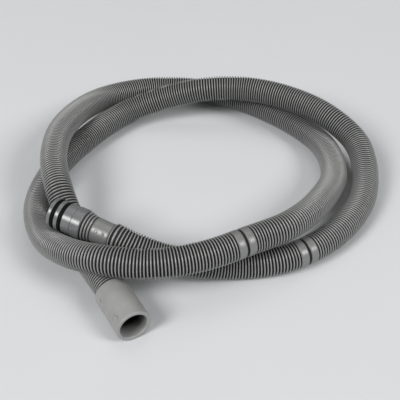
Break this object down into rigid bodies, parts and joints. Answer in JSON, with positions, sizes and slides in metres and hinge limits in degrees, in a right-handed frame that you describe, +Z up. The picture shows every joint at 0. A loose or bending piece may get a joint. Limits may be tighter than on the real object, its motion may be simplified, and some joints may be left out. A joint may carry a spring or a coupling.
{
  "type": "dishwasher drain hose",
  "caption": "Corrugated grey drain hose lying in two loose turns, with a plug-in connector with two seal rings at one end and a smooth soft drain cuff at the other.",
  "frame": {"origin": "middle of the footprint on the floor that the hose lies on", "axes": "+Z up; +Y along the longest extent, away from the open end of the drain cuff; +X to the right of the coil seen from the cuff"},
  "size_m": [0.3022, 0.3348, 0.0536],
  "materials": {
    "hose": "semi-gloss ribs, light grey",
    "connector": "semi-gloss mid grey moulding",
    "seal": "black rubber",
    "cuff": "matt light warm grey"
  },
  "bodies": {
    "root": {"corrugated_hose": "hose", "machine_connector": "connector", "front_o_ring": "seal", "rear_o_ring": "seal", "drain_cuff": "cuff"}
  },
  "joints": []
}
